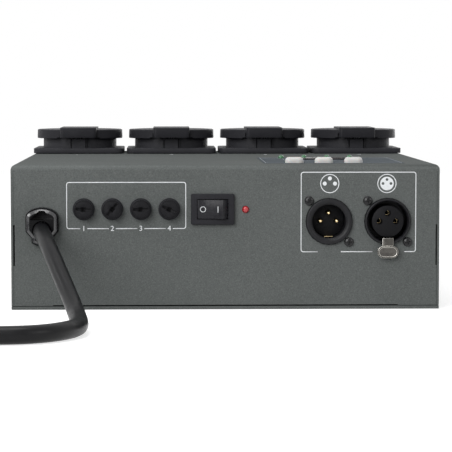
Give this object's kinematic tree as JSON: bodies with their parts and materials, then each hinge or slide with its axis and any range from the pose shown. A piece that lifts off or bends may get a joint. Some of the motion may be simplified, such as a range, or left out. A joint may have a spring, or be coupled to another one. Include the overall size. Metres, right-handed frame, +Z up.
{
  "type": "dmx switch pack",
  "caption": "Steel-cased stage switch pack with flap-lid outlets on top, and fuses, power switch and three-pin control connectors on its front panel.",
  "frame": {"origin": "on the floor, under the middle of the housing's footprint with the bushing", "axes": "+X to the right seen from the connector panel, +Y away from the panel, +Z up"},
  "size_m": [0.3356, 0.3481, 0.085],
  "materials": {
    "powder_coat": "fine-textured matte grey",
    "black_plastic": "fine-grained moulded",
    "soft_black": "matte moulded",
    "plated_steel": "zinc plated",
    "black_metal": "satin black plated",
    "nickel": "satin nickel",
    "brass": "bright",
    "fuse_glass": "clear",
    "cream_plastic": "satin",
    "label_film": "printed film",
    "dark_window": "glossy tinted",
    "red_lens": "clear tinted",
    "board_green": "solder mask",
    "winding_tape": "taped winding on a laminated core",
    "cord_sheath": "matte black sheath"
  },
  "bodies": {
    "pack": {"base_plate": "powder_coat", "coil_tie": "soft_black", "control_board": "board_green", "control_label": "label_film", "cord_coil": "cord_sheath", "display": "dark_window", "dmx_in_earth_strip": "brass", "dmx_in_insert": "black_plastic", "dmx_in_pin_1": "brass", "dmx_in_pin_2": "brass", "dmx_in_pin_3": "brass", "dmx_in_shell": "black_metal", "dmx_out_insert": "black_plastic", "dmx_out_shell": "black_metal", "earth_bracket_1": "brass", "earth_bracket_2": "brass", "earth_bracket_3": "brass", "earth_bracket_4": "brass", "fuse_holder_1": "black_plastic", "fuse_holder_2": "black_plastic", "fuse_holder_3": "black_plastic", "fuse_holder_4": "black_plastic", "hinge_pin_1": "plated_steel", "hinge_pin_2": "plated_steel", "hinge_pin_3": "plated_steel", "hinge_pin_4": "plated_steel", "housing_cover": "powder_coat", "lid_spring_1": "plated_steel", "lid_spring_2": "plated_steel", "lid_spring_3": "plated_steel", "lid_spring_4": "plated_steel", "mains_plug": "soft_black", "power_board": "board_green", "power_led": "red_lens", "socket_body_1": "black_plastic", "socket_body_2": "black_plastic", "socket_body_3": "black_plastic", "socket_body_4": "black_plastic", "strain_relief": "soft_black", "supply_cord": "cord_sheath", "switch_body": "black_plastic", "transformer": "winding_tape"},
    "lid_1": {"socket_lid_1": "black_plastic"},
    "lid_2": {"socket_lid_2": "black_plastic"},
    "lid_3": {"socket_lid_3": "black_plastic"},
    "lid_4": {"socket_lid_4": "black_plastic"},
    "cap_1": {"fuse_cap_1": "black_plastic", "fuse_1": "fuse_glass"},
    "cap_2": {"fuse_cap_2": "black_plastic", "fuse_2": "fuse_glass"},
    "cap_3": {"fuse_cap_3": "black_plastic", "fuse_3": "fuse_glass"},
    "cap_4": {"fuse_cap_4": "black_plastic", "fuse_4": "fuse_glass"},
    "rocker": {"switch_rocker": "black_plastic"},
    "latch": {"dmx_out_latch": "nickel"},
    "key_1": {"button_1": "cream_plastic"},
    "key_2": {"button_2": "cream_plastic"},
    "key_3": {"button_3": "cream_plastic"}
  },
  "joints": [
    {"name": "lid_hinge_1", "type": "hinge", "parent": "pack", "child": "lid_1", "pos_m": [-0.078, 0.0533, 0.0806], "axis": [1, 0, 0], "range_deg": [0, 95], "stiffness_Nm_per_rad": 0.012, "springref_deg": -28.65},
    {"name": "lid_hinge_2", "type": "hinge", "parent": "pack", "child": "lid_2", "pos_m": [-0.026, 0.0533, 0.0806], "axis": [1, 0, 0], "range_deg": [0, 95], "stiffness_Nm_per_rad": 0.012, "springref_deg": -28.65},
    {"name": "lid_hinge_3", "type": "hinge", "parent": "pack", "child": "lid_3", "pos_m": [0.026, 0.0533, 0.0806], "axis": [1, 0, 0], "range_deg": [0, 95], "stiffness_Nm_per_rad": 0.012, "springref_deg": -28.65},
    {"name": "lid_hinge_4", "type": "hinge", "parent": "pack", "child": "lid_4", "pos_m": [0.078, 0.0533, 0.0806], "axis": [1, 0, 0], "range_deg": [0, 95], "stiffness_Nm_per_rad": 0.012, "springref_deg": -28.65},
    {"name": "cap_turn_1", "type": "hinge", "parent": "pack", "child": "cap_1", "pos_m": [-0.0688, -0.1015, 0.0489], "axis": [0, -1, 0], "range_deg": [0, 1080]},
    {"name": "cap_turn_2", "type": "hinge", "parent": "pack", "child": "cap_2", "pos_m": [-0.055, -0.1015, 0.0489], "axis": [0, -1, 0], "range_deg": [0, 1080]},
    {"name": "cap_turn_3", "type": "hinge", "parent": "pack", "child": "cap_3", "pos_m": [-0.0412, -0.1015, 0.0489], "axis": [0, -1, 0], "range_deg": [0, 1080]},
    {"name": "cap_turn_4", "type": "hinge", "parent": "pack", "child": "cap_4", "pos_m": [-0.0274, -0.1015, 0.0489], "axis": [0, -1, 0], "range_deg": [0, 1080]},
    {"name": "rocker_tilt", "type": "hinge", "parent": "pack", "child": "rocker", "pos_m": [-0.0064, -0.09963, 0.0488], "axis": [0, 0, 1], "range_deg": [0, 26]},
    {"name": "latch_push", "type": "slide", "parent": "pack", "child": "latch", "axis": [0, 1, 0], "range_m": [0, 0.001], "stiffness_N_per_m": 400, "springref_m": -0.002},
    {"name": "button_press_1", "type": "slide", "parent": "pack", "child": "key_1", "axis": [0, 0, -1], "range_m": [0, 0.0005], "stiffness_N_per_m": 800, "springref_m": -0.0005},
    {"name": "button_press_2", "type": "slide", "parent": "pack", "child": "key_2", "axis": [0, 0, -1], "range_m": [0, 0.0005], "stiffness_N_per_m": 800, "springref_m": -0.0005},
    {"name": "button_press_3", "type": "slide", "parent": "pack", "child": "key_3", "axis": [0, 0, -1], "range_m": [0, 0.0005], "stiffness_N_per_m": 800, "springref_m": -0.0005}
  ]
}
